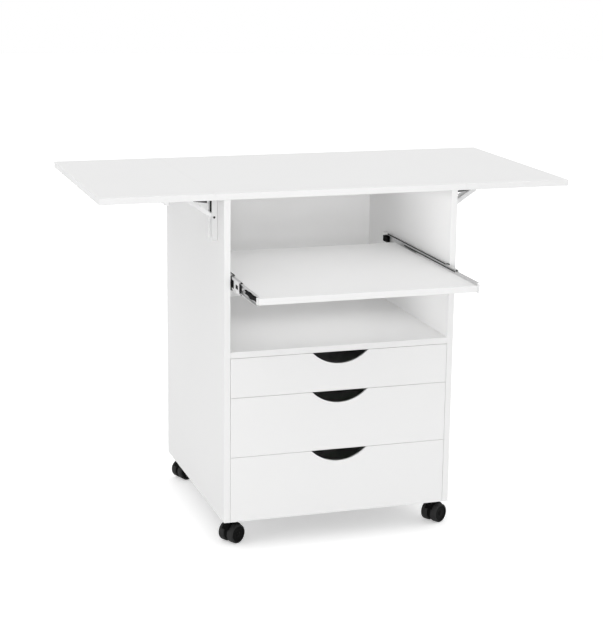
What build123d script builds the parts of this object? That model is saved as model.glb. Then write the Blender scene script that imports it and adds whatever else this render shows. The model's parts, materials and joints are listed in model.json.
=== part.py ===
from build123d import *
import math
import os

# Rolling sewing table with two drop leaves, a pull-out shelf and three drawers.
# Millimetres. +Z is up, the front faces -Y, and the origin is on the floor under the middle of the top.

# Table top
top_width = 1219.2
top_depth = 609.6
table_height = 914.4
top_thickness = 16.0
seam_gap = 0.25
edge_ease = 0.8

# Cabinet boards
cabinet_width = 608.0
panel_thickness = 16.0
rear_overhang = 8.0
back_thickness = 6.0
back_rabbet = 6.0
fixed_shelf_height = 518.0
shelf_thickness = 16.0

# Wooden dowels and cam fittings that hold the boards together
dowel_radius = 4.0
dowel_in_face = 10.0
dowel_in_edge = 20.0
dowel_inset = 80.0
cam_radius = 7.5
cam_height = 12.0
cam_from_end = 34.0
cam_bolt_radius = 3.0
cam_inset = 110.0
cam_slot_width = 2.0
cam_slot_depth = 1.5
fit_clearance = 0.05
press_clearance = 0.025
end_clearance = 0.3

# Drawers
drawer_reveal = 0.7
drawer_side_gap = 0.65
top_drawer_height = 101.45
middle_drawer_height = 154.3
drawer_front_thickness = 16.0
finger_cut_width = 148.0
finger_cut_depth = 31.0
finger_cut_lip = 6.0
finger_cut_relief = 7.0
box_lift = 14.0
box_drop = 16.0
box_floor_gap = 6.0
box_length = 500.0
box_board = 12.0
box_bottom_thickness = 4.0
box_groove_lift = 10.0
box_groove_depth = 6.0
runner_length = 450.0
runner_height = 27.0
runner_lift = 34.0
runner_screw_inset = 45.0
runner_screw_stagger = 11.0

# Ball-bearing slides, drawn as channels that run inside each other
slide_width = 12.7
slide_sheet = 1.1
slide_corner = 1.6
slide_gap = 0.5
slide_setback = 4.0
slide_outer_height = 35.0
slide_race = 3.1
slide_flange = 10.7
slide_inner_flange = 6.8
slide_length = 450.0
slide_middle_length = 350.0
slide_middle_lead = 65.0
slide_inner_length = 400.0
slide_stop_length = 28.0
slide_stop_height = 16.0
slide_cap_from_front = 8.0
slide_cap_length = 20.0
slide_cap_height = 10.0
slide_guide_from_front = 45.0
slide_guide_length = 20.0
slide_guide_height = 20.0
slide_tab_height = 18.0
slide_hole_radius = 3.0
slide_hole_from_front = 132.0
slide_hole_pitch = 96.0
slide_hole_count = 2
slide_screw_from_front = 54.0
slide_screw_from_rear = 90.0

# Pull-out shelf, drawn as far out as it is pictured
pull_shelf_depth = 561.0
pull_shelf_out = 204.0
pull_shelf_thickness = 16.0
slide_centre_height = 693.0
pull_shelf_drop = 10.5
shelf_screw_from_front = 140.0
shelf_screw_from_rear = 60.0
lever_length = 100.0
lever_from_front = 8.0
lever_height = 9.0
lever_tab_height = 16.0
lever_tab_length = 16.0
lever_bump_from_front = 46.0
lever_bump_length = 14.0
lever_bump_slope = 3.0
lever_bump_height = 18.0
lever_grip_from_front = 20.0
lever_grip_length = 50.0
lever_grip_height = 17.0
lever_grip_slope = 15.0
lever_thickness = 3.0
lever_pin_radius = 2.0

# Leaf hinges
leaf_standoff = 22.0
hinge_length = 60.0
hinge_pitch = 165.0
hinge_count = 3
hinge_knuckles = 5
hinge_barrel_radius = 3.0
hinge_pin_radius = 1.2
hinge_plate_thickness = 1.5
hinge_panel_gap = 3.0
hinge_drop = 0.2
hinge_knuckle_gap = 0.4
hinge_screw_spacing = 40.0

# Folding leaf brackets
bracket_front_inset = 76.0
bracket_rear_inset = 18.0
bracket_top_gap = 2.0
channel_height = 107.0
channel_reach = 15.5
channel_width = 34.0
channel_screw_inset = 21.4
bracket_sheet = 1.5
channel_bend = 3.0
bracket_side_gap = 0.7
pivot_out = 9.4
pivot_drop = 52.0
strut_pin_out = 72.0
strut_pin_drop = 10.0
strut_width = 10.0
strut_pin_radius = 2.0
rivet_radius = 2.0
rivet_head_radius = 2.8
rivet_head_height = 1.2
arm_start = 4.0
arm_length = 170.0
arm_deep = 16.5
arm_taper = 11.0
arm_lip = 6.5
arm_shoulder = 9.0
arm_notch_clearance = 1.5
arm_shoulder_length = 60.0
arm_screw_inset = 25.5

# Twin-wheel casters
caster_height = 74.0
caster_side_inset = 25.0
caster_front_inset = 55.0
caster_rear_inset = 28.0
front_caster_turn = -60.0
rear_caster_turn = -70.0
caster_trail = 14.0
caster_plate_size = 38.0
caster_screw_spacing = 18.0
caster_plate_thickness = 3.0
caster_stud_radius = 5.0
caster_stud_length = 13.0
caster_boss_radius = 8.0
caster_boss_gap = 0.6
caster_web_half = 5.0
caster_web_radius = 21.0
caster_rib_half = 10.5
caster_hood_half = 11.0
caster_hood_gap = 1.4
caster_hood_wall = 2.2
caster_hood_angle = 62.0
wheel_radius = 25.0
wheel_width = 18.4
wheel_gap = 0.8
wheel_rounding = 3.0
wheel_dish_radius = 18.5
wheel_dish_depth = 1.6
wheel_hub_radius = 6.0
axle_radius = 3.0
running_clearance = 0.06

# Screws
screw_radius = 1.6
screw_length = 11.0
screw_head_radius = 3.2
screw_head_height = 1.2

# Levels and faces that follow from the sizes above
top_underside = table_height - top_thickness
cabinet_bottom = caster_height
cabinet_half = cabinet_width / 2
inner_half = cabinet_half - panel_thickness
front_y = -top_depth / 2
rear_y = top_depth / 2 - rear_overhang
back_y = rear_y - back_thickness
front_back_y = front_y + drawer_front_thickness
bottom_panel_top = cabinet_bottom + panel_thickness
bottom_panel_front = front_back_y + drawer_side_gap
fixed_shelf_bottom = fixed_shelf_height - shelf_thickness
hinge_axis_x = cabinet_half + leaf_standoff
hinge_axis_z = top_underside - hinge_barrel_radius - hinge_drop
slide_front = front_y + slide_setback
slide_inner_height = slide_outer_height - 2 * (slide_sheet + slide_race + 2 * slide_gap)
pull_shelf_half = inner_half - slide_width
pull_shelf_front = front_y - pull_shelf_out
bracket_places = [front_y + bracket_front_inset, rear_y - bracket_rear_inset]
hinge_row_middle = sum(bracket_places) / 2
hinge_places = [hinge_row_middle + hinge_pitch * (i - (hinge_count - 1) / 2) for i in range(hinge_count)]

pieces = {}
screw_cutters = []


def block(x_span, y_span, z_span):
    """A box between pairs of coordinates."""
    spans = (x_span, y_span, z_span)
    centre = [(low + high) / 2 for low, high in spans]
    size = [abs(high - low) for low, high in spans]
    return Pos(*centre) * Box(*size)


def rod(start, end, radius):
    """A round bar between two points."""
    axis = Vector(*end) - Vector(*start)
    plane = Plane(origin=start, z_dir=axis)
    return extrude(plane * Circle(radius), amount=axis.length)


def rod_along_x(x_span, place, radius):
    """A round bar along X at a (y, z) place."""
    return rod((x_span[0], *place), (x_span[1], *place), radius)


def rod_along_y(y_span, place, radius):
    """A round bar along Y at an (x, z) place."""
    x, z = place
    return rod((x, y_span[0], z), (x, y_span[1], z), radius)


def profile_along_y(points, y_span):
    """A closed outline of (x, z) points carried along Y."""
    outline = Polyline(*[(x, y_span[0], z) for x, z in points], close=True)
    return extrude(make_face(outline), amount=y_span[1] - y_span[0], dir=(0, 1, 0))


def mirrored(shapes):
    """The left-hand copies of right-hand shapes."""
    return [mirror(shape, about=Plane.YZ) for shape in shapes]


def add(name, *shapes):
    """Puts shapes into a node."""
    pieces.setdefault(name, []).extend(shapes)


def screw(point, direction):
    """A pan-head screw whose head sits on a face at point, and its pilot hole's cutter."""
    start = Vector(*point)
    way = Vector(*direction)
    head = rod(start - way * screw_head_height, start, screw_head_radius)
    body = head + rod(start, start + way * screw_length, screw_radius)
    cutter = rod(start, start + way * (screw_length + end_clearance), screw_radius + fit_clearance)
    screw_cutters.append(cutter)
    return body


def drilled(shape, cutters):
    """The shape less every cutter whose box meets its own."""
    box = shape.bounding_box()
    for cutter in cutters:
        if box.overlaps(cutter.bounding_box()):
            shape = shape - cutter
    return shape


def channel(web_x, tip_x, y_span, centre_z, half_height, flange=slide_sheet):
    """A C channel along Y: a web at web_x and two flanges that reach to tip_x, rounded at its corners."""
    way = 1 if tip_x > web_x else -1
    outer = block((web_x, tip_x), y_span, (centre_z - half_height, centre_z + half_height))
    web_face = outer.faces().sort_by(Axis.X)[0 if way > 0 else -1]
    outer = fillet(web_face.edges().filter_by(Axis.Y), slide_corner)
    inner_z = (centre_z - half_height + flange, centre_z + half_height - flange)
    return outer - block((web_x + way * slide_sheet, tip_x), y_span, inner_z)


# Dowels and cam fittings
dowel_cutters = []
cam_cutters = []


def dowel(start, way):
    """A dowel that crosses a joint at start, with the hole that takes it."""
    origin = Vector(*start)
    along = Vector(*way)
    low = origin - along * dowel_in_edge
    high = origin + along * dowel_in_face
    room = along * end_clearance
    dowel_cutters.append(rod(low - room, high + room, dowel_radius + fit_clearance))
    return rod(low, high, dowel_radius)


def cam_fitting(joint_x, y, board_low, board_centre):
    """A cam disc in a board's underside and the bolt that it draws, on the right-hand side."""
    cam_x = joint_x - cam_from_end
    disc = rod((cam_x, y, board_low), (cam_x, y, board_low + cam_height), cam_radius)
    slot_x = (cam_x - cam_radius, cam_x + cam_radius)
    slot_y = (y - cam_slot_width / 2, y + cam_slot_width / 2)
    disc = disc - block(slot_x, slot_y, (board_low, board_low + cam_slot_depth))
    bolt_start = (cam_x + cam_radius + end_clearance, y, board_centre)
    bolt_end = (joint_x + dowel_in_face, y, board_centre)
    bolt = rod(bolt_start, bolt_end, cam_bolt_radius)
    pocket_top = (cam_x, y, board_low + cam_height + end_clearance)
    pocket = rod((cam_x, y, board_low), pocket_top, cam_radius + fit_clearance)
    hole_end = (joint_x + dowel_in_face + end_clearance, y, board_centre)
    hole = rod((cam_x, y, board_centre), hole_end, cam_bolt_radius + fit_clearance)
    cam_cutters.extend([pocket, hole])
    cam_cutters.extend(mirrored([pocket, hole]))
    return [disc, bolt]


dowels = []
board_joints = [
    (cabinet_bottom, cabinet_bottom + panel_thickness / 2),
    (fixed_shelf_bottom, fixed_shelf_bottom + shelf_thickness / 2),
]
for board_low, board_centre in board_joints:
    for y in (bottom_panel_front + dowel_inset, back_y - dowel_inset):
        for side in (-1, 1):
            dowels.append(dowel((side * inner_half, y, board_centre), (side, 0, 0)))
    for y in (bottom_panel_front + cam_inset, back_y - cam_inset):
        fitting = cam_fitting(inner_half, y, board_low, board_centre)
        add("cam_fittings", *fitting, *mirrored(fitting))
for y in (front_y + dowel_inset, rear_y - dowel_inset):
    for side in (-1, 1):
        dowels.append(dowel((side * (inner_half + cabinet_half) / 2, y, top_underside), (0, 0, 1)))
add("panel_dowels", *dowels)

# Leaf hinges: fixed plates under the middle top, moving plates under the leaves
hinge_axis = (hinge_axis_x, hinge_axis_z)
hinge_reach = leaf_standoff - hinge_panel_gap
knuckle_pitch = hinge_length / hinge_knuckles


def hinge_plate(side, y, first, bore):
    """One hinge plate: side -1 lies inward of the hinge axis, and first is its first knuckle."""
    clear_x = hinge_axis_x + side * (hinge_barrel_radius + hinge_knuckle_gap)
    plate_x = (hinge_axis_x + side * hinge_reach, clear_x)
    plate_z = (top_underside - hinge_plate_thickness, top_underside)
    low_y = y - hinge_length / 2
    plate = block(plate_x, (low_y, low_y + hinge_length), plate_z)
    for index in range(first, hinge_knuckles, 2):
        start = low_y + index * knuckle_pitch + hinge_knuckle_gap / 2
        span = (start, start + knuckle_pitch - hinge_knuckle_gap)
        tongue = block((clear_x, hinge_axis_x), span, plate_z)
        plate = plate + tongue + rod_along_y(span, hinge_axis, hinge_barrel_radius)
    return plate - rod_along_y((low_y, low_y + hinge_length), hinge_axis, bore)


hinge_screw_x = hinge_barrel_radius + hinge_knuckle_gap + (hinge_reach - hinge_barrel_radius) / 2
for y in hinge_places:
    fixed = hinge_plate(-1, y, 0, hinge_pin_radius + press_clearance)
    moving = hinge_plate(1, y, 1, hinge_pin_radius + running_clearance)
    pin = rod_along_y((y - hinge_length / 2, y + hinge_length / 2), hinge_axis, hinge_pin_radius)
    plate_low = top_underside - hinge_plate_thickness
    for screw_y in (y - hinge_screw_spacing / 2, y + hinge_screw_spacing / 2):
        fixed_screw = screw((hinge_axis_x - hinge_screw_x, screw_y, plate_low), (0, 0, 1))
        moving_screw = screw((hinge_axis_x + hinge_screw_x, screw_y, plate_low), (0, 0, 1))
        add("cabinet_screws", fixed_screw, *mirrored([fixed_screw]))
        add("right_leaf_screws", moving_screw)
        add("left_leaf_screws", *mirrored([moving_screw]))
    fixed = drilled(fixed, screw_cutters)
    moving = drilled(moving, screw_cutters)
    add("hinge_fixed_plates", fixed, *mirrored([fixed]))
    add("hinge_pins", pin, *mirrored([pin]))
    add("right_hinge_plates", moving)
    add("left_hinge_plates", *mirrored([moving]))

# Folding brackets: a wall channel, an arm under the leaf and a strut between them
channel_inner_half = channel_width / 2 - bracket_sheet
strut_outer_half = channel_inner_half - bracket_side_gap
strut_inner_half = strut_outer_half - bracket_sheet
arm_half = strut_inner_half - bracket_side_gap
pivot_x = cabinet_half + pivot_out
pivot_z = top_underside - pivot_drop
pivot_axis = (pivot_x, pivot_z)
strut_pin_x = cabinet_half + strut_pin_out
strut_pin_z = top_underside - strut_pin_drop


def wall_channel(y):
    """The channel on the cabinet's side, folded from sheet, open outwards, with its two pivot holes."""
    top = top_underside - bracket_top_gap
    low = top - channel_height
    web_y = (y - channel_width / 2, y + channel_width / 2)
    shape = block((cabinet_half, cabinet_half + bracket_sheet), web_y, (low, top))
    for side in (-1, 1):
        flange_y = (y + side * channel_inner_half, y + side * channel_width / 2)
        shape = shape + block((cabinet_half, cabinet_half + channel_reach), flange_y, (low, top))
    inner_bends = shape.edges().filter_by(Axis.Z).group_by(Axis.X)[1]
    shape = fillet(inner_bends, channel_bend - bracket_sheet)
    outer_bends = shape.edges().filter_by(Axis.Z).group_by(Axis.X)[0]
    shape = fillet(outer_bends, channel_bend)
    return shape - rod_along_y(web_y, pivot_axis, rivet_radius + press_clearance)


def pivot_rivets(y):
    """Two short rivets that carry the strut's bars, one in each flange."""
    rivets = []
    for side in (-1, 1):
        inner = y + side * strut_inner_half
        face = y + side * channel_width / 2
        outer = face + side * rivet_head_height
        shank = rod_along_y((inner, face), pivot_axis, rivet_radius)
        rivets.append(shank + rod_along_y((face, outer), pivot_axis, rivet_head_radius))
    return rivets


def strut(y):
    """Two bars from the pivot to the arm, joined by the pin that seats in the arm's notch."""
    length = math.hypot(strut_pin_x - pivot_x, strut_pin_z - pivot_z)
    turn = math.degrees(math.atan2(strut_pin_z - pivot_z, strut_pin_x - pivot_x))
    start = Plane(origin=(pivot_x, y, pivot_z), x_dir=(1, 0, 0), z_dir=(0, -1, 0))
    outline = Pos(length / 2, 0) * SlotCenterToCenter(length, strut_width)
    outline = outline - Circle(rivet_radius + running_clearance)
    pin_y = (y - strut_outer_half, y + strut_outer_half)
    shape = rod_along_y(pin_y, (strut_pin_x, strut_pin_z), strut_pin_radius)
    for low in (-strut_outer_half, strut_inner_half):
        bar = extrude(start * (Rot(0, 0, turn) * outline), amount=bracket_sheet)
        shape = shape + Pos(0, low + bracket_sheet, 0) * bar
    return shape


def arm(y):
    """A folded channel under the leaf, deepest by the hinge, notched for the strut's pin, shallow beyond."""
    start = hinge_axis_x + arm_start
    end = start + arm_length
    notch_start = strut_pin_x - strut_pin_radius - arm_notch_clearance
    notch_end = strut_pin_x + strut_pin_radius + arm_notch_clearance
    outline = [
        (start, 0),
        (end, 0),
        (end, arm_lip),
        (notch_end + arm_shoulder_length, arm_lip),
        (notch_end, arm_shoulder),
        (notch_end, arm_lip),
        (notch_start, arm_lip),
        (notch_start, arm_taper),
        (start, arm_deep),
    ]
    points = [(x, top_underside - depth) for x, depth in outline]
    shape = block((start, end), (y - arm_half, y + arm_half), (top_underside - bracket_sheet, top_underside))
    for low in (y - arm_half, y + arm_half - bracket_sheet):
        shape = shape + profile_along_y(points, (low, low + bracket_sheet))
    return shape


for y in bracket_places:
    wall = wall_channel(y)
    web_x = cabinet_half + bracket_sheet
    channel_top = top_underside - bracket_top_gap
    for z in (channel_top - channel_screw_inset, channel_top - channel_height + channel_screw_inset):
        wall_screw = screw((web_x, y, z), (-1, 0, 0))
        add("cabinet_screws", wall_screw, *mirrored([wall_screw]))
    wall = drilled(wall, screw_cutters)
    add("bracket_channels", wall, *mirrored([wall]))
    rivets = pivot_rivets(y)
    add("bracket_rivets", *rivets, *mirrored(rivets))
    right_arm = arm(y)
    arm_root = hinge_axis_x + arm_start
    for x in (arm_root + arm_screw_inset, arm_root + arm_length - arm_screw_inset):
        arm_screw = screw((x, y, top_underside - bracket_sheet), (0, 0, 1))
        add("right_leaf_screws", arm_screw)
        add("left_leaf_screws", *mirrored([arm_screw]))
    right_arm = drilled(right_arm, screw_cutters)
    add("right_bracket_arms", right_arm)
    add("left_bracket_arms", *mirrored([right_arm]))
    right_strut = strut(y)
    add("right_bracket_struts", right_strut)
    add("left_bracket_struts", *mirrored([right_strut]))

# Pull-out shelf and its slides
outer_half = slide_outer_height / 2
middle_half = outer_half - slide_sheet - slide_gap
shelf_member_half = slide_inner_height / 2
slide_rear = slide_front + slide_length
middle_front = front_y - slide_middle_lead
middle_rear = middle_front + slide_middle_length
member_rear = pull_shelf_front + slide_inner_length
member_web_x = pull_shelf_half + slide_sheet
middle_web_x = inner_half - slide_sheet - screw_head_height - end_clearance
middle_tip_x = inner_half - slide_flange
shelf_low = slide_centre_height - pull_shelf_drop
member_tip_x = pull_shelf_half + slide_inner_flange
cabinet_member_y = (slide_front, slide_rear)
middle_member_y = (middle_front, middle_rear)
shelf_member_y = (pull_shelf_front, member_rear)
slide_z = slide_centre_height
cabinet_member = channel(inner_half, middle_tip_x, cabinet_member_y, slide_z, outer_half)
middle_member = channel(middle_web_x, middle_tip_x, middle_member_y, slide_z, middle_half, slide_race)
shelf_member = channel(pull_shelf_half, member_tip_x, shelf_member_y, slide_z, shelf_member_half)
tab_y = (pull_shelf_front, pull_shelf_front + slide_sheet)
tab_z = (slide_z - slide_tab_height / 2, slide_z + slide_tab_height / 2)
shelf_member = shelf_member + block((pull_shelf_half, member_tip_x), tab_y, tab_z)
rear_stop_z = (slide_z - slide_stop_height / 2, slide_z + slide_stop_height / 2)
rear_stop_y = (slide_rear - slide_stop_length, slide_rear)
rear_stop = block((middle_tip_x, inner_half - slide_sheet), rear_stop_y, rear_stop_z)
rear_stop = fillet(rear_stop.edges().filter_by(Axis.X), slide_sheet)
front_bumper_x = (middle_web_x + end_clearance, inner_half)
front_bumper = block(front_bumper_x, (front_y, slide_front), (slide_z - outer_half, slide_z + outer_half))

# Black inserts in the middle member's web: a cap at its front end and a guide behind it
insert_spans = [
    (middle_front + slide_cap_from_front, slide_cap_length, slide_cap_height),
    (middle_front + slide_guide_from_front, slide_guide_length, slide_guide_height),
]
inserts = []
for insert_front, insert_length, insert_height in insert_spans:
    insert_y = (insert_front, insert_front + insert_length)
    insert_z = (slide_z - insert_height / 2, slide_z + insert_height / 2)
    inserts.append(block((member_tip_x + slide_gap, middle_web_x), insert_y, insert_z))
    window_y = (insert_y[0] - fit_clearance, insert_y[1] + fit_clearance)
    window_z = (insert_z[0] - fit_clearance, insert_z[1] + fit_clearance)
    middle_member = middle_member - block((middle_web_x - slide_sheet, middle_web_x), window_y, window_z)

# The release lever lies in the shelf member's channel and turns on a stud at its rear end
lever_rear = pull_shelf_front + lever_from_front + lever_length
lever_x = (member_web_x + slide_gap, member_web_x + slide_gap + lever_thickness)
lever_front = pull_shelf_front + lever_from_front
bump_front = lever_front + lever_bump_from_front
bump_rear = bump_front + lever_bump_length
grip_front = lever_front + lever_grip_from_front
grip_rear = grip_front + lever_grip_length
lever_outline = [
    (lever_rear, -lever_height / 2),
    (lever_rear, lever_height / 2),
    (bump_rear, lever_height / 2),
    (bump_rear - lever_bump_slope, lever_bump_height / 2),
    (bump_front + lever_bump_slope, lever_bump_height / 2),
    (bump_front, lever_height / 2),
    (lever_front + lever_tab_length, lever_height / 2),
    (lever_front + lever_tab_length, lever_tab_height / 2),
    (lever_front, lever_tab_height / 2),
    (lever_front, -lever_height / 2),
    (grip_front, -lever_height / 2),
    (grip_rear - lever_grip_slope, -lever_grip_height / 2),
    (grip_rear, -lever_height / 2),
]
lever_wire = Polyline(*[(lever_x[0], y, slide_z + z) for y, z in lever_outline], close=True)
lever = extrude(make_face(lever_wire), amount=lever_thickness, dir=(1, 0, 0))
stud_x = (pull_shelf_half, lever_x[1])
stud_place = (lever_rear - lever_height / 2, slide_z)
lever = lever - rod_along_x(stud_x, stud_place, lever_pin_radius + running_clearance)
shelf_member = shelf_member + rod_along_x(stud_x, stud_place, lever_pin_radius)

pull_shelf_x = (-pull_shelf_half, pull_shelf_half)
pull_shelf_y = (pull_shelf_front, pull_shelf_front + pull_shelf_depth)
pull_shelf = block(pull_shelf_x, pull_shelf_y, (shelf_low, shelf_low + pull_shelf_thickness))
pull_shelf = fillet(pull_shelf.edges(), edge_ease)

for y in (pull_shelf_front + shelf_screw_from_front, member_rear - shelf_screw_from_rear):
    shelf_screw = screw((member_web_x, y, shelf_low + pull_shelf_thickness / 2), (-1, 0, 0))
    add("shelf_screws", shelf_screw, *mirrored([shelf_screw]))
for y in (slide_front + slide_screw_from_front, slide_rear - slide_screw_from_rear):
    wall_screw = screw((inner_half - slide_sheet, y, slide_z), (1, 0, 0))
    add("cabinet_screws", wall_screw, *mirrored([wall_screw]))

cabinet_member = drilled(cabinet_member, screw_cutters)
shelf_member = drilled(shelf_member, screw_cutters)
for index in range(slide_hole_count):
    place = (pull_shelf_front + slide_hole_from_front + index * slide_hole_pitch, slide_z)
    shelf_member = shelf_member - rod_along_x((pull_shelf_half, member_web_x), place, slide_hole_radius)
for side, copies in (("right", list), ("left", mirrored)):
    add(side + "_slide_cabinet_member", *copies([cabinet_member]))
    add(side + "_slide_middle_member", *copies([middle_member]))
    add(side + "_slide_shelf_member", *copies([shelf_member]))
    add(side + "_release_lever", *copies([lever]))
add("slide_stops", rear_stop, front_bumper, *mirrored([rear_stop, front_bumper]))
add("slide_inserts", *inserts, *mirrored(inserts))

# Drawers
box_half = inner_half - slide_width
runner_inner_half = runner_height / 2 - slide_sheet - slide_gap
finger_radius = (finger_cut_width**2 / 4 + finger_cut_depth**2) / (2 * finger_cut_depth)
box_rear = front_back_y + box_length
runner_rear = slide_front + drawer_front_thickness + runner_length


def drawer(name, front_low, front_high):
    """A drawer: inset front with a half-moon finger cut, grooved sides, back, bottom and runners."""
    front_x = inner_half - drawer_side_gap
    front = block((-front_x, front_x), (front_y, front_back_y), (front_low, front_high))
    front = fillet(front.edges(), edge_ease)
    finger_z = front_high - finger_cut_depth + finger_radius
    front = front - rod_along_y((front_y, front_back_y), (0, finger_z), finger_radius)
    relief_y = (front_y + finger_cut_lip, front_back_y)
    front = front - rod_along_y(relief_y, (0, finger_z), finger_radius + finger_cut_relief)
    box_low = max(front_low + box_lift, bottom_panel_top + box_floor_gap)
    box_high = front_high - box_drop
    groove_z = (box_low + box_groove_lift, box_low + box_groove_lift + box_bottom_thickness)
    groove_half = box_half - box_board + box_groove_depth
    groove_y = (front_back_y - box_groove_depth, box_rear)
    groove_cut_z = (groove_z[0] - fit_clearance, groove_z[1] + fit_clearance)
    groove = block((-groove_half, groove_half), groove_y, groove_cut_z)
    front = front - groove
    side = block((box_half - box_board, box_half), (front_back_y, box_rear), (box_low, box_high)) - groove
    back_half = box_half - box_board
    back = block((-back_half, back_half), (box_rear - box_board, box_rear), (groove_cut_z[1], box_high))
    bottom_half = groove_half - end_clearance
    bottom_y = (groove_y[0] + end_clearance, box_rear)
    bottom = block((-bottom_half, bottom_half), bottom_y, groove_z)
    runner_z = box_low + runner_lift
    wall_y = (front_back_y + slide_setback, runner_rear)
    wall_runner = channel(inner_half, inner_half - slide_flange, wall_y, runner_z, runner_height / 2)
    box_runner = channel(box_half, box_half + slide_flange, wall_y, runner_z, runner_inner_half)
    box_screws = []
    for y in (wall_y[0] + runner_screw_inset, wall_y[1] - runner_screw_inset):
        wall_screw = screw((inner_half - slide_sheet, y, runner_z), (1, 0, 0))
        add("cabinet_screws", wall_screw, *mirrored([wall_screw]))
        box_screw = screw((box_half + slide_sheet, y + runner_screw_stagger, runner_z), (-1, 0, 0))
        box_screws.extend([box_screw, *mirrored([box_screw])])
    side = drilled(side, screw_cutters)
    wall_runner = drilled(wall_runner, screw_cutters)
    box_runner = drilled(box_runner, screw_cutters)
    add("drawer_wall_runners", wall_runner, *mirrored([wall_runner]))
    add(name + "_drawer_front", front)
    add(name + "_drawer_sides", side, *mirrored([side]))
    add(name + "_drawer_back", back)
    add(name + "_drawer_bottom", bottom)
    add(name + "_drawer_runners", box_runner, *mirrored([box_runner]), *box_screws)


top_drawer_high = fixed_shelf_bottom - drawer_reveal
top_drawer_low = top_drawer_high - top_drawer_height
middle_drawer_high = top_drawer_low - drawer_reveal
middle_drawer_low = middle_drawer_high - middle_drawer_height
bottom_drawer_high = middle_drawer_low - drawer_reveal
drawer("top", top_drawer_low, top_drawer_high)
drawer("middle", middle_drawer_low, middle_drawer_high)
drawer("bottom", cabinet_bottom, bottom_drawer_high)

# Casters
wheel_inner = caster_web_half + wheel_gap
wheel_outer = wheel_inner + wheel_width
plate_low = caster_height - caster_plate_thickness
boss_top = plate_low - caster_boss_gap
hood_inner = wheel_radius + caster_hood_gap
hood_outer = hood_inner + caster_hood_wall
axle_place = (caster_trail, wheel_radius)
caster_x = cabinet_half - caster_side_inset
caster_front_y = front_y + caster_front_inset
caster_rear_y = rear_y - caster_rear_inset
caster_places = {
    "front_left": (-caster_x, caster_front_y, front_caster_turn),
    "front_right": (caster_x, caster_front_y, front_caster_turn),
    "rear_left": (-caster_x, caster_rear_y, rear_caster_turn),
    "rear_right": (caster_x, caster_rear_y, rear_caster_turn),
}


def caster_wheel(side):
    """A wheel about the X axis with a rounded tread, a dished face and a hub boss."""
    span = (side * wheel_inner, side * wheel_outer)
    tyre = rod_along_x(span, axle_place, wheel_radius)
    tyre = fillet(tyre.edges(), wheel_rounding)
    dish_span = (span[1] - side * wheel_dish_depth, span[1])
    dish = rod_along_x(dish_span, axle_place, wheel_dish_radius)
    dish = dish - rod_along_x(dish_span, axle_place, wheel_hub_radius)
    return tyre - dish - rod_along_x(span, axle_place, axle_radius + press_clearance)


def caster_housing():
    """The web between the wheels, the hood over them and the boss that turns on the plate's stud."""
    web_x = (-caster_web_half, caster_web_half)
    web = rod_along_x(web_x, axle_place, caster_web_radius)
    hood_x = (-caster_hood_half, caster_hood_half)
    hood = rod_along_x(hood_x, axle_place, hood_outer) - rod_along_x(hood_x, axle_place, hood_inner)
    reach = 2 * hood_outer
    spread = math.radians(caster_hood_angle)
    low_y = math.sin(spread) * reach
    low_z = math.cos(spread) * reach
    fan = [(0, 0), (low_y, low_z), (low_y, reach), (-low_y, reach), (-low_y, low_z)]
    fan_wire = Polyline(*[(-wheel_outer, caster_trail + y, wheel_radius + z) for y, z in fan], close=True)
    hood = hood & extrude(make_face(fan_wire), amount=2 * wheel_outer, dir=(1, 0, 0))
    rib_y = (caster_trail - caster_rib_half, caster_trail + caster_rib_half)
    rib_z = (wheel_radius, wheel_radius + hood_inner + caster_hood_wall / 2)
    rib = block(web_x, rib_y, rib_z)
    boss_low = wheel_radius + math.sqrt(hood_outer**2 - (caster_trail + caster_boss_radius) ** 2)
    boss = rod((0, 0, boss_low), (0, 0, boss_top), caster_boss_radius)
    boss = boss - rod_along_x(hood_x, axle_place, hood_inner)
    shape = web + hood + rib + boss
    stud_low = plate_low - caster_stud_length - end_clearance
    stud_hole = rod((0, 0, stud_low), (0, 0, boss_top), caster_stud_radius + running_clearance)
    return shape - stud_hole - rod_along_x(web_x, axle_place, axle_radius + running_clearance)


axle_half = wheel_outer - wheel_dish_depth - end_clearance
axle = rod_along_x((-axle_half, axle_half), axle_place, axle_radius)
wheel_pair = [caster_wheel(-1), caster_wheel(1), axle]
housing = caster_housing()
plate_half = caster_plate_size / 2
plate = block((-plate_half, plate_half), (-plate_half, plate_half), (plate_low, caster_height))
plate = fillet(plate.edges().filter_by(Axis.Z), caster_plate_thickness)
plate = plate + rod((0, 0, plate_low), (0, 0, plate_low - caster_stud_length), caster_stud_radius)
screw_offset = caster_screw_spacing / 2
for place, (x, y, turn) in caster_places.items():
    turned = Pos(x, y, 0) * Rot(0, 0, turn)
    add(place + "_caster_housing", turned * housing)
    add(place + "_caster_wheels", *[turned * shape for shape in wheel_pair])
    placed = Pos(x, y, 0) * plate
    for step_x in (-screw_offset, screw_offset):
        for step_y in (-screw_offset, screw_offset):
            add("cabinet_screws", screw((x + step_x, y + step_y, plate_low), (0, 0, 1)))
    add("caster_plates", drilled(placed, screw_cutters))

# Cabinet boards and leaves, drilled for every dowel, cam and screw that enters them
screw_holes = screw_cutters + mirrored(screw_cutters)
all_cutters = dowel_cutters + cam_cutters + screw_holes


def board(x_span, y_span, z_span, eased=True):
    """A drilled board, with its edges eased where they show."""
    shape = block(x_span, y_span, z_span)
    if eased:
        shape = fillet(shape.edges(), edge_ease)
    return drilled(shape, all_cutters)


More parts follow.
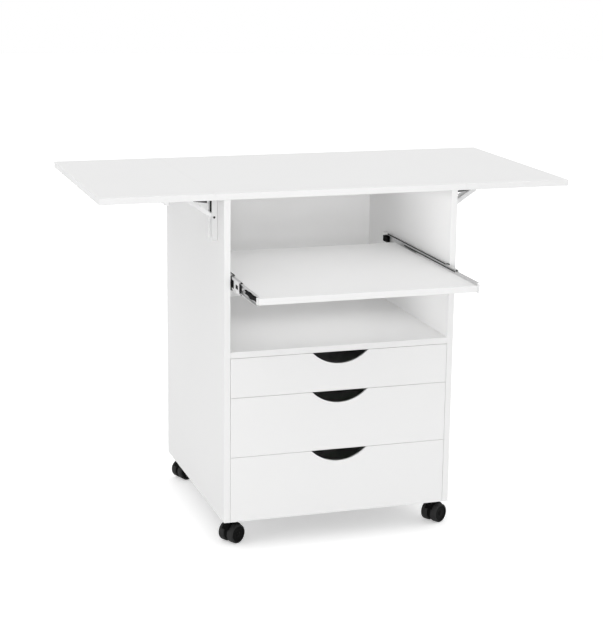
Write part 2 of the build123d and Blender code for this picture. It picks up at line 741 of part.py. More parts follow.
for name, side in (("left", -1), ("right", 1)):
    x_span = sorted((side * inner_half, side * cabinet_half))
    panel = board(x_span, (front_y, rear_y), (cabinet_bottom, top_underside))
    rabbet_x = sorted((side * inner_half, side * (inner_half + back_rabbet)))
    add(name + "_side_panel", panel - block(rabbet_x, (back_y, rear_y), (cabinet_bottom, top_underside)))
inner_x = (-inner_half, inner_half)
back_half = inner_half + back_rabbet - fit_clearance
back_x = (-back_half, back_half)
add("back_panel", board(back_x, (back_y, rear_y), (cabinet_bottom, top_underside), False))
add("bottom_panel", board(inner_x, (bottom_panel_front, back_y), (cabinet_bottom, bottom_panel_top), False))
fixed_shelf = block(inner_x, (front_y, back_y), (fixed_shelf_bottom, fixed_shelf_height))
front_edges = fixed_shelf.faces().sort_by(Axis.Y)[0].edges().filter_by(Axis.X)
add("fixed_shelf", drilled(fillet(front_edges, edge_ease), all_cutters))

top_y = (-top_depth / 2, top_depth / 2)
top_z = (top_underside, table_height)
seam_half = hinge_axis_x - seam_gap / 2
centre_top = block((-seam_half, seam_half), top_y, top_z)
centre_top = fillet(centre_top.edges().filter_by(Axis.X), edge_ease)
add("centre_top", drilled(centre_top, all_cutters))
leaf = block((hinge_axis_x + seam_gap / 2, top_width / 2), top_y, top_z)
leaf_edges = leaf.edges().filter_by(Axis.X) + leaf.faces().sort_by(Axis.X)[-1].edges()
leaf = drilled(fillet(leaf_edges, edge_ease), screw_cutters)
add("right_leaf", leaf)
add("left_leaf", *mirrored([leaf]))
add("pull_out_shelf", drilled(pull_shelf, screw_holes))

# The strut's turn for each turn of the leaf, from its seat in the arm to its place beside the hanging arm
strut_length = math.hypot(strut_pin_x - pivot_x, strut_pin_z - pivot_z)
hanging_x = hinge_axis_x - (hinge_axis_z - strut_pin_z)
rest_angle = math.degrees(math.atan2(strut_pin_z - pivot_z, strut_pin_x - pivot_x))
hanging_angle = math.degrees(math.acos((hanging_x - pivot_x) / strut_length))
print("strut turns", round(rest_angle + hanging_angle, 4), "degrees while the leaf turns 90")

os.makedirs("parts", exist_ok=True)
for name, shapes in pieces.items():
    solids = [solid for shape in shapes for solid in shape.solids()]
    export_step(Compound(solids), f"parts/{name}.step")
print(len(pieces), "nodes")
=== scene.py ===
import bmesh
import bpy
import json
import math
import numpy as np
from mathutils import Matrix, Vector


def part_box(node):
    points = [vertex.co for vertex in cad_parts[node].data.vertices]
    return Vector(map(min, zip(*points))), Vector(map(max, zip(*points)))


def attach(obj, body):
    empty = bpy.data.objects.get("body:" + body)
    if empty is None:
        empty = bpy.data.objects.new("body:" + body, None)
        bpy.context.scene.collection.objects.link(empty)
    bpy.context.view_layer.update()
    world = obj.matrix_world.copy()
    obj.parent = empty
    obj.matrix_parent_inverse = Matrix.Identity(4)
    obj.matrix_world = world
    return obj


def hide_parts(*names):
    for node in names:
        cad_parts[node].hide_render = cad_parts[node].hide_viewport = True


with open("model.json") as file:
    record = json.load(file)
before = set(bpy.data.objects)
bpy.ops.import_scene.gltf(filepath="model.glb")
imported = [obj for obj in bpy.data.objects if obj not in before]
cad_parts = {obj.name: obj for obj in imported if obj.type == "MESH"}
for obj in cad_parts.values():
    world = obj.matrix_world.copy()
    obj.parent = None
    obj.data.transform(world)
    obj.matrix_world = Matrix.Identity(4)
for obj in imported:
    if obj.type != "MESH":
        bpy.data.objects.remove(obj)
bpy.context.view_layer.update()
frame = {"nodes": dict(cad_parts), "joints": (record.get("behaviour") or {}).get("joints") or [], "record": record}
nodes = frame["nodes"]
joints = {joint["name"]: joint for joint in frame["joints"]}
scene = bpy.context.scene
scene.view_settings.view_transform = "Standard"

# Camera, as the photograph was taken: metres and radians, a focal length in pixels
# of a 603 by 643 image, and the sensor's width in millimetres
CAMERA_PLACE = (-1.37536, -4.22552, 1.59864)
CAMERA_YAW = 0.3133
CAMERA_PITCH = -0.2411
CAMERA_ROLL = 0.0120
CAMERA_REACH = 100.0
FOCAL_PIXELS = 1708.84
IMAGE_HEIGHT = 643
SENSOR = 36.0

# Light: a soft room, brighter overhead, two large lamps far off at the table's height,
# and a fill in each compartment; a lamp or fill is given by its place, size and power
WHITE = (1.0, 1.0, 1.0, 1.0)
ROOM_LEVEL = 0.30
ROOM_OVERHEAD = 0.95
LAMPS = {
    "front_lamp": ((-1.70, -8.00, 0.85), 2.4, 240.0),
    "left_lamp": ((-8.00, -2.20, 0.75), 3.0, 168.0),
}
LAMP_AIM = (0.0, 0.0, 0.55)
FILLS = {
    "upper_fill": ((0.0, -0.13, 0.892), (0.54, 0.36), 0.37),
    "lower_fill": ((0.0, -0.15, 0.675), (0.54, 0.32), 0.35),
}
FLOOR_RADIUS = 14.0
FLOOR_STEPS = 96
FLOOR_COLOUR = 0.55
FLOOR_SEEN_COLOUR = 0.98
FLOOR_LIFT = 0.36
FLOOR_ROUGHNESS = 0.7
FLOOR_SPECULAR = 0.1

# Surfaces: the share of its warmth that a colour's green gives up, the span of patches
# over which a finish changes, the depth of relief, and the make-up of drawn lines
GREEN_WARMTH = 0.3
PATCH_SPAN = (0.3, 0.7)
RELIEF_DEPTH = 0.0002
LINE_STRETCH = 0.012
LINE_SHARE = 0.6
BLOTCH_SHARE = 0.4

# Meshes: how near points are merged, how steep an edge is sharp, how finely places and radii
# are compared, and the points of a rounded block
MERGE_DISTANCE = 1e-7
SHARP_DEGREES = 40
POINT_DECIMALS = 6
ROUNDING_ERROR = 1e-9
BLOCK_ROWS = 13
BLOCK_STEPS = 24

# Caster wheels, about their axle
CASTERS = ("front_left", "front_right", "rear_left", "rear_right")
WHEEL_RADIUS = 0.0250
WHEEL_INNER = 0.0058
WHEEL_OUTER = 0.0242
WHEEL_ROUNDING = 0.0030
WHEEL_RIM_RADIUS = 0.0206
WHEEL_DISC_RADIUS = 0.0194
WHEEL_DISH_RADIUS = 0.0182
WHEEL_DISH_DEPTH = 0.0016
WHEEL_HUB_FOOT_RADIUS = 0.0072
WHEEL_HUB_RADIUS = 0.0060
WHEEL_HUB_RISE = 0.00112
WHEEL_HUB_CROWN_RADIUS = 0.0045
WHEEL_GROOVE = 0.0004
WHEEL_STEPS = 72
SHOULDER_STEPS = 7

# Pan-head screws: the rings and the recess's slots are in shares of the head's radius
SCREW_NODES = {
    "cabinet_screws": "cabinet",
    "left_leaf_screws": "left_drop_leaf",
    "right_leaf_screws": "right_drop_leaf",
    "shelf_screws": "shelf",
}
SCREW_END_DEPTH = 0.0001
SCREW_HEAD_RADIUS = 0.0032
SCREW_HEAD_HEIGHT = 0.0012
SCREW_RECESS_DEPTH = 0.0007
SCREW_RINGS = (0.0, 0.13, 0.26, 0.42, 0.58, 0.70, 0.84, 0.94, 1.0)
SCREW_STEPS = 24
SLOT_HALF_WIDTH = 0.20
SLOT_SIDE_RUN = 0.08
SLOT_HALF_LENGTH = 0.66
SLOT_END_RUN = 0.10

# Ball cages in the upper and lower races of the shelf slides: outer ones by the cabinet
# member, inner ones by the shelf's, each with a nose at its front end
CAGE_STAND = 0.0003
CAGE_CLEARANCE = 0.00005
CAGE_ROWS = 400
CAGE_STEPS = 20
CAGE_RISE_POWER = 0.7
CAGE_STAND_POWER = 0.5
BALL_RADIUS = 0.0010
BALL_STAND = 0.0005
BALL_PITCH = 0.0140
OUTER_CAGE_HEIGHT = 0.0036
OUTER_CAGE_SPAN = (-0.3024, 0.1110)
OUTER_CAGE_OFFSET = 0.0178
INNER_CAGE_HEIGHT = 0.0030
INNER_CAGE_OFFSET = 0.0111
OUTER_NOSE_HALF = (0.0038, 0.0014, 0.0008)
OUTER_NOSE_FROM_TIP = 0.0041
INNER_NOSE_HALF = (0.0020, 0.0020, 0.0016)
INNER_NOSE_FROM_TIP = 0.0022
INNER_NOSE_OFFSET = 0.0142
NOSE_POWER = 0.6

# Leaf brackets: the channels, their white painted lighter to lift the shade inside them, and greyer before a place
# in Y, a painted shade on their front flanges; and the dark latches in them, which also stand in for the shade in
# the channel tops, each given by its reach out from the cabinet's side and its drop from the channel's top
CHANNEL_REACH = 0.0155
CHANNEL_WIDTH = 0.0340
CHANNEL_FRONT_Y = -0.2440
CHANNEL_FRONT_RUN = 0.0001
CHANNEL_FRONT_PAINTED_SHADE = 0.710
LATCH_THICKNESS = 0.0012
LATCH_UPRIGHT = ((0.0050, 0.0162), (0.0005, 0.0390))
LATCH_BAR = ((0.0016, 0.0230), (0.0005, 0.0068))
LATCH_POWER = 0.2


def noise(tree, coordinates, scale, detail=2.0, roughness=0.5):
    """A noise texture on the given coordinates, with its scale from a socket."""
    node = tree.nodes.new("ShaderNodeTexNoise")
    node.inputs["Detail"].default_value = detail
    node.inputs["Roughness"].default_value = roughness
    tree.links.new(scale, node.inputs["Scale"])
    tree.links.new(coordinates, node.inputs["Vector"])
    return node.outputs["Fac"]


def spread(tree, value, low, high, in_low=0.0, in_high=1.0):
    """A value mapped from one range to another, clamped."""
    node = tree.nodes.new("ShaderNodeMapRange")
    node.inputs["From Min"].default_value = in_low
    node.inputs["From Max"].default_value = in_high
    node.inputs["To Min"].default_value = low
    node.inputs["To Max"].default_value = high
    tree.links.new(value, node.inputs["Value"])
    return node.outputs["Result"]


def sum_of(tree, first, second, clamp=False):
    """Two values added."""
    node = tree.nodes.new("ShaderNodeMath")
    node.operation = "ADD"
    node.use_clamp = clamp
    tree.links.new(first, node.inputs[0])
    tree.links.new(second, node.inputs[1])
    return node.outputs["Value"]


def effect_group(name):
    """An empty shader group: the scales of pebble and patches go in, relief and patches come out."""
    tree = bpy.data.node_groups.new(name, "ShaderNodeTree")
    for label in ("Pebble", "Patch"):
        tree.interface.new_socket(label, in_out="INPUT", socket_type="NodeSocketFloat")
    for label in ("Relief", "Patches"):
        tree.interface.new_socket(label, in_out="OUTPUT", socket_type="NodeSocketFloat")
    entry = tree.nodes.new("NodeGroupInput")
    leave = tree.nodes.new("NodeGroupOutput")
    place = tree.nodes.new("ShaderNodeTexCoord").outputs["Object"]
    return tree, entry, leave, place


def skin_group():
    """The skin of a pressed or moulded surface.

    A fine pebble gives its relief, and broad patches change its gloss and shade.
    """
    tree, entry, leave, place = effect_group("skin")
    pebble = noise(tree, place, entry.outputs["Pebble"])
    patch = noise(tree, place, entry.outputs["Patch"], detail=3.0)
    tree.links.new(pebble, leave.inputs["Relief"])
    tree.links.new(patch, leave.inputs["Patches"])
    return tree


def draw_lines_group():
    """Fine lines along Y, as on rolled and plated strip: noise stretched along the strip.

    The patches are a share of the lines with a share of blotches added.
    """
    tree, entry, leave, place = effect_group("draw_lines")
    stretch = tree.nodes.new("ShaderNodeMapping")
    stretch.inputs["Scale"].default_value = (1.0, LINE_STRETCH, 1.0)
    tree.links.new(place, stretch.inputs["Vector"])
    lines = noise(tree, stretch.outputs["Vector"], entry.outputs["Pebble"], detail=3.0, roughness=0.6)
    blotch = noise(tree, place, entry.outputs["Patch"])
    both = tree.nodes.new("ShaderNodeMath")
    both.operation = "MULTIPLY_ADD"
    both.inputs[1].default_value = LINE_SHARE
    tree.links.new(lines, both.inputs[0])
    tree.links.new(spread(tree, blotch, 0.0, BLOTCH_SHARE), both.inputs[2])
    tree.links.new(lines, leave.inputs["Relief"])
    tree.links.new(both.outputs["Value"], leave.inputs["Patches"])
    return tree


SKIN = skin_group()
DRAW_LINES = draw_lines_group()


def grey(value, warm=0.0):
    """A near-neutral colour, warmer where warm is above 0."""
    return (value, value * (1.0 - GREEN_WARMTH * warm), value * (1.0 - warm))


def blend_colours(tree, share, first, second):
    """Two colours, or colour sockets, mixed by a share."""
    node = tree.nodes.new("ShaderNodeMix")
    node.data_type = "RGBA"
    tree.links.new(share, node.inputs["Factor"])
    for label, colour in (("A", first), ("B", second)):
        if isinstance(colour, tuple):
            node.inputs[label].default_value = (*colour, 1.0)
        else:
            tree.links.new(colour, node.inputs[label])
    return node.outputs["Result"]


def finish(name, shades, rough, pebble, patch, bump,
           effect=SKIN, metallic=0.0, specular=0.5, marked=None):
    """A surface finish: shades and roughness follow the effect's patches, and its relief is the bump.

    marked, if given, is an attribute's name with the shades and the metallic level where it is 1.
    """
    material = bpy.data.materials.new(name)
    material.use_nodes = True
    tree = material.node_tree
    shader = tree.nodes["Principled BSDF"]
    surface = tree.nodes.new("ShaderNodeGroup")
    surface.node_tree = effect
    surface.inputs["Pebble"].default_value = pebble
    surface.inputs["Patch"].default_value = patch
    share = spread(tree, surface.outputs["Patches"], 0.0, 1.0, *PATCH_SPAN)
    colour = blend_colours(tree, share, *shades)
    shader.inputs["Metallic"].default_value = metallic
    if marked:
        label, marked_shades, marked_metallic = marked
        mark = tree.nodes.new("ShaderNodeAttribute")
        mark.attribute_name = label
        marked_colour = blend_colours(tree, share, *marked_shades)
        colour = blend_colours(tree, mark.outputs["Fac"], colour, marked_colour)
        if marked_metallic != metallic:
            level = spread(tree, mark.outputs["Fac"], metallic, marked_metallic)
            tree.links.new(level, shader.inputs["Metallic"])
    tree.links.new(colour, shader.inputs["Base Color"])
    roughness = spread(tree, surface.outputs["Patches"], *rough, *PATCH_SPAN)
    tree.links.new(roughness, shader.inputs["Roughness"])
    relief = tree.nodes.new("ShaderNodeBump")
    relief.inputs["Strength"].default_value = bump
    relief.inputs["Distance"].default_value = RELIEF_DEPTH
    tree.links.new(surface.outputs["Relief"], relief.inputs["Height"])
    tree.links.new(relief.outputs["Normal"], shader.inputs["Normal"])
    shader.inputs["Specular IOR Level"].default_value = specular
    return material


FINISH_VALUES = {
    "white_laminate": dict(
        shades=(grey(0.850, 0.004), grey(0.862, 0.002)), rough=(0.42, 0.50),
        pebble=620, patch=2.2, bump=0.10),
    "back_board": dict(
        shades=(grey(0.800, 0.006), grey(0.825, 0.004)), rough=(0.62, 0.74),
        pebble=380, patch=5, bump=0.25),
    "drawer_board": dict(
        shades=(grey(0.815, 0.006), grey(0.840, 0.004)), rough=(0.50, 0.62),
        pebble=460, patch=4, bump=0.15),
    "bracket_white": dict(
        shades=(grey(0.820), grey(0.845)), rough=(0.34, 0.44),
        pebble=1100, patch=12, bump=0.25),
    "dark_steel": dict(
        shades=(grey(0.028), grey(0.045)), rough=(0.38, 0.52),
        pebble=900, patch=40, bump=0.15, specular=0.25),
    "zinc_steel": dict(
        shades=(grey(0.62), grey(0.76)), rough=(0.34, 0.48),
        pebble=900, patch=60, bump=0.10, effect=DRAW_LINES, metallic=0.70),
    "black_plastic": dict(
        shades=(grey(0.004), grey(0.007)), rough=(0.62, 0.74),
        pebble=1500, patch=30, bump=0.25, specular=0.03),
    "caster_tread": dict(
        shades=(grey(0.004), grey(0.007)), rough=(0.48, 0.60),
        pebble=1300, patch=45, bump=0.20, specular=0.05,
        marked=("tread", (grey(0.026), grey(0.036)), 0.0)),
    "dowel_beech": dict(
        shades=((0.50, 0.33, 0.18), (0.64, 0.46, 0.28)), rough=(0.55, 0.70),
        pebble=500, patch=40, bump=0.30),
}
FINISHES = {name: finish(name, **values) for name, values in FINISH_VALUES.items()}
CAGE_FINISH = finish(
    "cage_plastic", shades=(grey(0.005), grey(0.009)), rough=(0.40, 0.52),
    pebble=1500, patch=30, bump=0.10, specular=0.05,
    marked=("ball", (grey(0.12), grey(0.18)), 0.8))


def channel_painted_light_and_shade():
    """White enamel, painted lighter to lift the shade inside the channels, and greyer on the front brackets' front
    flanges before CHANNEL_FRONT_Y, a painted shade.
    """
    # painted light: the channels' white is lighter than the brackets' white, to lift the shade inside the channels
    material = finish(
        "channel_white_painted_light_and_shade", shades=(grey(0.880), grey(0.900)), rough=(0.40, 0.50),
        pebble=1100, patch=12, bump=0.25)
    tree = material.node_tree
    colour = tree.nodes["Principled BSDF"].inputs["Base Color"]
    split = tree.nodes.new("ShaderNodeSeparateXYZ")
    tree.links.new(tree.nodes.new("ShaderNodeTexCoord").outputs["Object"], split.inputs["Vector"])
    # painted shade: the front flanges are greyer before CHANNEL_FRONT_Y, to darken them under the front lamp
    run = (CHANNEL_FRONT_Y - CHANNEL_FRONT_RUN, CHANNEL_FRONT_Y + CHANNEL_FRONT_RUN)
    clear_of_painted_shade = spread(tree, split.outputs["Y"], 0.0, 1.0, *run)
    enamel = colour.links[0].from_socket
    tree.links.new(blend_colours(tree, clear_of_painted_shade, grey(CHANNEL_FRONT_PAINTED_SHADE), enamel), colour)
    return material


def dress_cad_nodes():
    """Each node takes the finish of its material slot, and the bracket channels their own, with painted light and
    shade.
    """
    for part in frame["record"]["subparts"]:
        mesh = nodes[part["node"]].data
        mesh.materials.clear()
        mesh.materials.append(FINISHES[part["material_slot"]])
    nodes["bracket_channels"].data.materials[0] = channel_painted_light_and_shade()


def grid_faces(rows, columns, first):
    """Quads of a grid of points that is closed round its columns, from the first point's number."""
    row, column = np.meshgrid(np.arange(rows - 1), np.arange(columns), indexing="ij")
    here = first + row * columns + column
    beside = first + row * columns + (column + 1) % columns
    return np.stack([here, beside, beside + columns, here + columns], axis=-1).reshape(-1, 4)


def surface_piece(name, body, material, grids, replaced=(), mark=None, marks=()):
    """One piece from grids of points (rows, columns, 3), with its faces turned outwards.

    Doubles are merged, and edges steeper than SHARP_DEGREES are sharp. mark names a point
    attribute whose values, one grid each, are in marks.
    """
    points = np.concatenate([grid.reshape(-1, 3) for grid in grids])
    starts = np.cumsum([0] + [grid.shape[0] * grid.shape[1] for grid in grids[:-1]])
    faces = np.concatenate([grid_faces(*grid.shape[:2], start) for grid, start in zip(grids, starts)])
    mesh = bpy.data.meshes.new(name)
    mesh.from_pydata(points.tolist(), [], faces.tolist())
    if mark:
        layer = mesh.attributes.new(mark, "FLOAT", "POINT")
        values = np.concatenate([grid.ravel() for grid in marks]).astype(np.float32)
        layer.data.foreach_set("value", values)
    work = bmesh.new()
    work.from_mesh(mesh)
    bmesh.ops.remove_doubles(work, verts=work.verts, dist=MERGE_DISTANCE)
    bmesh.ops.recalc_face_normals(work, faces=work.faces)
    work.to_mesh(mesh)
    work.free()
    mesh.shade_smooth()
    mesh.set_sharp_from_angle(angle=math.radians(SHARP_DEGREES))
    mesh.materials.append(material)
    piece = bpy.data.objects.new(name, mesh)
    scene.collection.objects.link(piece)
    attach(piece, body)
    if replaced:
        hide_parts(*replaced)


def wheel_profile():
    """A wheel's outline from its inner hub over the tread to the middle of its outer face.

    Returns the distance along the axle, the radius, and 1 where the tread is.
    The shoulders are quarter circles.
    """
    turn = np.linspace(0.0, np.pi / 2, SHOULDER_STEPS)
    cosine, sine = np.cos(turn), np.sin(turn)
    shoulder = WHEEL_RADIUS - WHEEL_ROUNDING
    rise = np.stack([WHEEL_INNER + WHEEL_ROUNDING * (1 - cosine), shoulder + WHEEL_ROUNDING * sine], axis=1)
    fall = np.stack([WHEEL_OUTER - WHEEL_ROUNDING * (1 - sine), shoulder + WHEEL_ROUNDING * cosine], axis=1)
    dish = WHEEL_OUTER - WHEEL_DISH_DEPTH
    face = np.array([
        (WHEEL_OUTER, WHEEL_RIM_RADIUS),
        (WHEEL_OUTER - WHEEL_GROOVE, WHEEL_RIM_RADIUS - WHEEL_GROOVE),
        (WHEEL_OUTER - WHEEL_GROOVE, WHEEL_DISC_RADIUS + WHEEL_GROOVE),
        (WHEEL_OUTER, WHEEL_DISC_RADIUS),
        (dish, WHEEL_DISH_RADIUS),
        (dish, WHEEL_HUB_FOOT_RADIUS),
        (dish + WHEEL_HUB_RISE, WHEEL_HUB_RADIUS),
        (WHEEL_OUTER - WHEEL_GROOVE / 2, WHEEL_HUB_CROWN_RADIUS),
        (WHEEL_OUTER, 0.0),
    ])
    inner = np.array([(WHEEL_INNER, 0.0), (WHEEL_INNER, WHEEL_DISC_RADIUS)])
    outline = np.concatenate([inner, rise, fall, face])
    tread = (outline[:, 1] >= WHEEL_RIM_RADIUS - ROUNDING_ERROR).astype(float)
    return outline[:, 0], outline[:, 1], tread


def caster_wheels(caster):
    """A caster's two wheels: the wheel outline turned about the axle on each side of the housing."""
    joint = joints[caster + "_wheel_roll"]
    centre = np.array(joint["pos_m"])
    axle = np.array(joint["axis"]) / np.linalg.norm(joint["axis"])
    up = np.array((0.0, 0.0, 1.0))
    across = np.cross(up, axle)
    along, radius, tread = wheel_profile()
    turn = np.linspace(0.0, 2.0 * np.pi, WHEEL_STEPS, endpoint=False)
    spoke = np.cos(turn)[:, None] * across + np.sin(turn)[:, None] * up
    round_part = radius[:, None, None] * spoke[None, :, :]
    grids = [centre + side * along[:, None, None] * axle + round_part for side in (-1.0, 1.0)]
    marks = [np.repeat(tread[:, None], len(turn), axis=1)] * 2
    surface_piece(caster + "_wheel_mouldings", caster + "_wheel_pair",
                  FINISHES["caster_tread"], grids, (caster + "_caster_wheels",), "tread", marks)


def separate_solids(node):
    """The points of each solid of a node.

    Points that share a triangle take the lowest number among them, until the numbers settle.
    """
    mesh = nodes[node].data
    points = np.empty(len(mesh.vertices) * 3, np.float32)
    mesh.vertices.foreach_get("co", points)
    corners = np.empty(len(mesh.loops), np.int32)
    mesh.loops.foreach_get("vertex_index", corners)
    places = np.round(points.reshape(-1, 3).astype(float), POINT_DECIMALS)
    spots, number = np.unique(places, axis=0, return_inverse=True)
    triangles = number.ravel()[corners].reshape(-1, 3)
    labels = np.arange(len(spots))
    settled = False
    while not settled:
        lowest = labels.copy()
        np.minimum.at(lowest, triangles.ravel(), np.repeat(labels[triangles].min(axis=1), 3))
        lowest = lowest[lowest]
        settled = np.array_equal(lowest, labels)
        labels = lowest
    return [spots[labels == label] for label in np.unique(labels)]


def screw_seat(points):
    """Where a screw's head meets its seat, and the way it faces.

    The screw lies along its longest side, with its head at the end that is wider.
    """
    low, high = points.min(axis=0), points.max(axis=0)
    line = int(np.argmax(high - low))
    ends = []
    for place, way in ((low, -1.0), (high, 1.0)):
        ring = points[np.abs(points[:, line] - place[line]) < SCREW_END_DEPTH]
        width = np.delete(ring.max(axis=0) - ring.min(axis=0), line).max()
        ends.append((width, place[line], way))
    _, level, way = max(ends)
    facing = np.zeros(3)
    facing[line] = way
    seat = (low + high) / 2
    seat[line] = level - way * SCREW_HEAD_HEIGHT
    return seat, facing


def screw_head(seat, facing):
    """A pan head with a cross recess, in turns round its axis.

    Height over the seat is head height times the root of 1 - share to the fourth,
    less a recess of two crossed slots.
    """
    turn = np.linspace(0.0, 2.0 * np.pi, SCREW_STEPS, endpoint=False)
    side, level = np.meshgrid(turn, np.array(SCREW_RINGS))
    across, along = level * np.cos(side), level * np.sin(side)
    from_line = np.minimum(np.abs(across), np.abs(along))
    from_middle = np.maximum(np.abs(across), np.abs(along))
    within_sides = np.clip((SLOT_HALF_WIDTH - from_line) / SLOT_SIDE_RUN, 0.0, 1.0)
    within_ends = np.clip((SLOT_HALF_LENGTH - from_middle) / SLOT_END_RUN, 0.0, 1.0)
    dome = SCREW_HEAD_HEIGHT * np.sqrt(np.clip(1.0 - level**4, 0.0, 1.0))
    height = dome - SCREW_RECESS_DEPTH * (within_sides * within_ends)
    other = np.roll(facing, 1)
    third = np.cross(facing, other)
    flat = across[..., None] * other + along[..., None] * third
    shell = seat + SCREW_HEAD_RADIUS * flat + height[..., None] * facing
    foot = np.broadcast_to(seat, (1, len(turn), 3))
    return np.concatenate([shell, foot])


def screw_heads():
    """A pan head on every screw, in one piece for each screw node."""
    for node, body in SCREW_NODES.items():
        heads = [screw_head(*screw_seat(points)) for points in separate_solids(node)]
        surface_piece(node.replace("screws", "screw_heads"), body,
                      FINISHES["zinc_steel"], heads, (node,))


def ball_cage(y_span, tip, side, level, height):
    """A cage strip over a race: a flattened tube along Y whose open side swells where each ball shows.

    The tube's section is the sine and cosine of a turn to powers below 1. The swelling is the
    part of a sphere of the ball's radius that stands out of the strip. Returns the points, and
    1 where a ball is.
    """
    along = np.linspace(y_span[0], y_span[1], CAGE_ROWS)
    turn = np.linspace(0.0, 2.0 * np.pi, CAGE_STEPS, endpoint=False)
    y, angle = np.meshgrid(along, turn, indexing="ij")
    rise = height / 2 * np.sign(np.sin(angle)) * np.abs(np.sin(angle)) ** CAGE_RISE_POWER
    out = CAGE_STAND * np.sign(np.cos(angle)) * np.abs(np.cos(angle)) ** CAGE_STAND_POWER
    from_ball = np.abs((y - y_span[0]) % BALL_PITCH - BALL_PITCH / 2)
    cap = np.sqrt(np.clip(BALL_RADIUS**2 - from_ball**2 - rise**2, 0.0, None))
    swell = np.clip(cap - (BALL_RADIUS - BALL_STAND), 0.0, None) * (out > 0)
    strip = np.stack([tip - side * (out + swell), y, level + rise], axis=-1)
    first = np.broadcast_to((tip, y_span[0], level), (1, len(turn), 3))
    last = np.broadcast_to((tip, y_span[1], level), (1, len(turn), 3))
    ball = (swell > 0).astype(float)
    edge = np.zeros((1, len(turn)))
    return np.concatenate([first, strip, last]), np.concatenate([edge, ball, edge])


def rounded_block(centre, half, power):
    """A block with rounded edges: each side is the cosine or sine of its turn to a power.

    The lower the power, the squarer the block.
    """
    rise = np.linspace(-np.pi / 2, np.pi / 2, BLOCK_ROWS)
    turn = np.linspace(0.0, 2.0 * np.pi, BLOCK_STEPS, endpoint=False)
    up, around = np.meshgrid(rise, turn, indexing="ij")

    def eased(value):
        return np.sign(value) * np.abs(value) ** power

    ring = eased(np.cos(up))
    sides = [ring * eased(np.cos(around)), ring * eased(np.sin(around)), eased(np.sin(up))]
    return np.array(centre) + np.stack(sides, axis=-1) * half


def ball_cages():
    """Cage strips above and below in each shelf slide.

    The outer ones stay, and the inner ones travel with the middle members.
    """
    outer, outer_balls, inner, inner_balls = [], [], [], []
    for name, side in (("left", -1.0), ("right", 1.0)):
        low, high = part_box(name + "_slide_middle_member")
        shelf_low, shelf_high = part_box(name + "_slide_shelf_member")
        tip = min(abs(low.x), abs(high.x))
        shelf_tip = min(abs(shelf_low.x), abs(shelf_high.x))
        middle = (low.z + high.z) / 2
        outer_x = side * (tip - CAGE_STAND - CAGE_CLEARANCE)
        inner_x = side * (shelf_tip - CAGE_STAND - CAGE_CLEARANCE)
        outer_nose_x = side * (tip + OUTER_NOSE_FROM_TIP)
        inner_nose_x = side * (tip + INNER_NOSE_FROM_TIP)
        inner_nose_y = low.y - INNER_NOSE_HALF[1] - CAGE_CLEARANCE
        for way in (-1.0, 1.0):
            outer_z = middle + way * OUTER_CAGE_OFFSET
            outer_nose = (outer_nose_x, OUTER_CAGE_SPAN[0], outer_z)
            grid, ball = ball_cage(OUTER_CAGE_SPAN, outer_x, side, outer_z, OUTER_CAGE_HEIGHT)
            nose = rounded_block(outer_nose, OUTER_NOSE_HALF, NOSE_POWER)
            outer += [grid, nose]
            outer_balls += [ball, np.zeros(nose.shape[:2])]
            inner_z = middle + way * INNER_CAGE_OFFSET
            inner_nose = (inner_nose_x, inner_nose_y, middle + way * INNER_NOSE_OFFSET)
            grid, ball = ball_cage((low.y, high.y), inner_x, side, inner_z, INNER_CAGE_HEIGHT)
            nose = rounded_block(inner_nose, INNER_NOSE_HALF, NOSE_POWER)
            inner += [grid, nose]
            inner_balls += [ball, np.zeros(nose.shape[:2])]
    surface_piece("slide_outer_ball_cages", "cabinet",
                  CAGE_FINISH, outer, (), "ball", outer_balls)
    surface_piece("slide_inner_ball_cages", "slide_middles",
                  CAGE_FINISH, inner, (), "ball", inner_balls)


def latches_and_painted_shade():
    """A dark latch in each bracket's channel, whose darkness is partly a painted shade for the shade in the
    channel's top: an upright, and a bar that reaches out to the arm.
    """
    low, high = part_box("bracket_channels")
    wall = high.x - CHANNEL_REACH
    blocks = []
    for side in (-1.0, 1.0):
        for y in (low.y + CHANNEL_WIDTH / 2, high.y - CHANNEL_WIDTH / 2):
            for (near, far), (above, below) in (LATCH_UPRIGHT, LATCH_BAR):
                centre = (side * (wall + (near + far) / 2), y, high.z - (above + below) / 2)
                half = ((far - near) / 2, LATCH_THICKNESS / 2, (below - above) / 2)
                blocks.append(rounded_block(centre, half, LATCH_POWER))
    # painted shade: the latches are dark steel, which partly stands in for the shade in the channel tops
    surface_piece("bracket_latches_and_painted_shade", "cabinet", FINISHES["dark_steel"], blocks)


def set_camera():
    """The camera at the photograph's place, with its turn worked out from yaw, pitch and roll."""
    ahead = Vector((math.sin(CAMERA_YAW) * math.cos(CAMERA_PITCH),
                    math.cos(CAMERA_YAW) * math.cos(CAMERA_PITCH), math.sin(CAMERA_PITCH)))
    level = Vector((math.cos(CAMERA_YAW), -math.sin(CAMERA_YAW), 0.0))
    above = level.cross(ahead)
    right = level * math.cos(CAMERA_ROLL) + above * math.sin(CAMERA_ROLL)
    up = above * math.cos(CAMERA_ROLL) - level * math.sin(CAMERA_ROLL)
    camera = bpy.data.objects.new("camera", bpy.data.cameras.new("camera"))
    camera.data.lens = FOCAL_PIXELS * SENSOR / IMAGE_HEIGHT
    camera.data.sensor_width = SENSOR
    camera.data.clip_end = CAMERA_REACH
    turn = Matrix((right, up, -ahead)).transposed().to_4x4()
    camera.matrix_world = Matrix.Translation(CAMERA_PLACE) @ turn
    scene.collection.objects.link(camera)
    scene.camera = camera


def seen_directly(tree):
    """1 for a ray that shows the background itself: from the camera, off a gloss or through glass."""
    path = tree.nodes.new("ShaderNodeLightPath")
    glossy = sum_of(tree, path.outputs["Is Camera Ray"], path.outputs["Is Glossy Ray"])
    return sum_of(tree, glossy, path.outputs["Is Transmission Ray"], clamp=True)


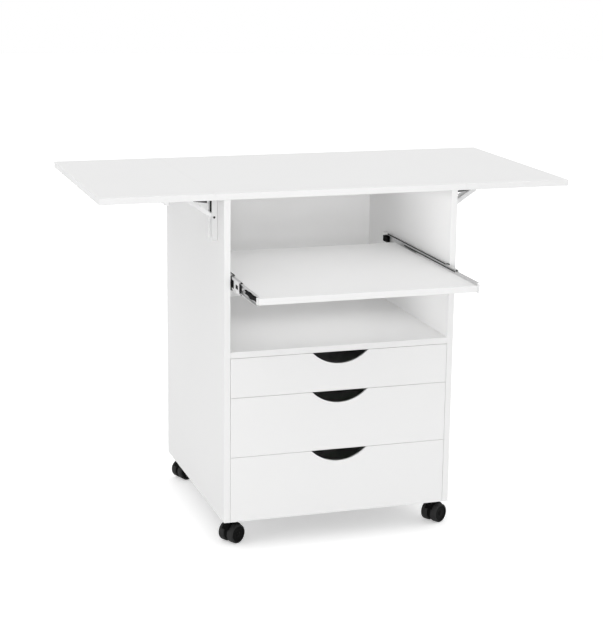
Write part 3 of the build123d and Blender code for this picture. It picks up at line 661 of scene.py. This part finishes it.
def room_light(tree):
    """The room's level in each direction: an even part, and a part that grows overhead."""
    direction = tree.nodes.new("ShaderNodeTexCoord").outputs["Generated"]
    split = tree.nodes.new("ShaderNodeSeparateXYZ")
    tree.links.new(direction, split.inputs["Vector"])
    return spread(tree, split.outputs["Z"], ROOM_LEVEL, ROOM_LEVEL + ROOM_OVERHEAD)


def set_room():
    """A soft white room: plain white where it is seen, and the room's levels where it lights."""
    world = bpy.data.worlds.new("studio")
    scene.world = world
    world.use_nodes = True
    tree = world.node_tree
    tree.nodes.clear()
    light = tree.nodes.new("ShaderNodeBackground")
    light.inputs["Color"].default_value = WHITE
    tree.links.new(room_light(tree), light.inputs["Strength"])
    white = tree.nodes.new("ShaderNodeBackground")
    white.inputs["Color"].default_value = WHITE
    pick = tree.nodes.new("ShaderNodeMixShader")
    tree.links.new(seen_directly(tree), pick.inputs["Fac"])
    tree.links.new(light.outputs["Background"], pick.inputs[1])
    tree.links.new(white.outputs["Background"], pick.inputs[2])
    out = tree.nodes.new("ShaderNodeOutputWorld")
    tree.links.new(pick.outputs["Shader"], out.inputs["Surface"])


def area_lamp(name, place, shape, size, power):
    """A flat lamp that faces down and isn't seen in a gloss."""
    light = bpy.data.lights.new(name, "AREA")
    light.shape = shape
    light.size, light.size_y = size
    light.energy = power
    lamp = bpy.data.objects.new(name, light)
    lamp.location = place
    lamp.visible_glossy = False
    scene.collection.objects.link(lamp)
    return lamp


def set_lamps():
    """Large round lamps, far off and turned to the table's middle."""
    for name, (place, size, power) in LAMPS.items():
        lamp = area_lamp(name, place, "DISK", (size, size), power)
        lamp.rotation_euler = (Vector(LAMP_AIM) - Vector(place)).to_track_quat("-Z", "Y").to_euler()


def set_fills():
    """A soft lamp high in each compartment, facing down and not seen itself."""
    for name, (place, size, power) in FILLS.items():
        fill = area_lamp(name, place, "RECTANGLE", size, power)
        fill.visible_camera = False


def floor_finish():
    """A pale floor: whiter and lifted where it is seen, so that it is white and keeps its shadows."""
    material = bpy.data.materials.new("studio_floor")
    material.use_nodes = True
    tree = material.node_tree
    shader = tree.nodes["Principled BSDF"]
    seen = seen_directly(tree)
    colour = blend_colours(tree, seen, grey(FLOOR_COLOUR), grey(FLOOR_SEEN_COLOUR))
    tree.links.new(colour, shader.inputs["Base Color"])
    shader.inputs["Roughness"].default_value = FLOOR_ROUGHNESS
    shader.inputs["Specular IOR Level"].default_value = FLOOR_SPECULAR
    shader.inputs["Emission Color"].default_value = WHITE
    lift = spread(tree, seen, 0.0, FLOOR_LIFT)
    tree.links.new(lift, shader.inputs["Emission Strength"])
    return material


def set_floor():
    """A round floor: one face with its rim at the floor's radius."""
    turn = np.linspace(0.0, 2.0 * np.pi, FLOOR_STEPS, endpoint=False)
    rim = np.stack([np.cos(turn), np.sin(turn), np.zeros_like(turn)], axis=1) * FLOOR_RADIUS
    mesh = bpy.data.meshes.new("floor")
    mesh.from_pydata(rim.tolist(), [], [list(range(len(rim)))])
    mesh.materials.append(floor_finish())
    floor = bpy.data.objects.new("floor", mesh)
    scene.collection.objects.link(floor)


dress_cad_nodes()
for caster in CASTERS:
    caster_wheels(caster)
screw_heads()
ball_cages()
latches_and_painted_shade()
set_camera()
set_room()
set_lamps()
set_fills()
set_floor()
